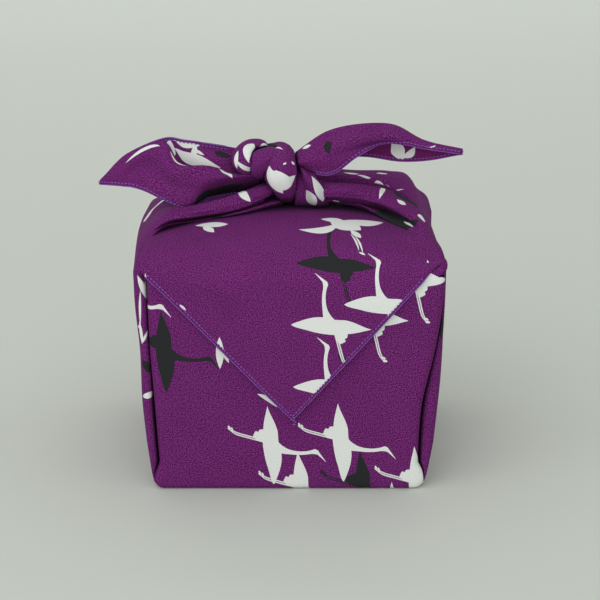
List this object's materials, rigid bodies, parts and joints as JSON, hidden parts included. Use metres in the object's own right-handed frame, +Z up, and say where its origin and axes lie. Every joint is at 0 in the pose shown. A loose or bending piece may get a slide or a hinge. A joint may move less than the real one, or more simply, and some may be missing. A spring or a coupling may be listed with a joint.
{
  "type": "furoshiki wrap",
  "caption": "Square cloth folded and tied round a box-shaped space, with a pointed front flap, pleated corners, a square knot on top and free tails.",
  "frame": {"origin": "middle of the flat underside, on the surface the wrap stands on", "axes": "+Z up, -Y out of the front with the pointed flap, +X to the right seen from the front"},
  "size_m": [0.1665, 0.123, 0.1541],
  "materials": {
    "cloth": "fine crepe weave, purple, with a two-colour bird print"
  },
  "bodies": {
    "root": {"wrap_cloth": "cloth"}
  },
  "joints": []
}
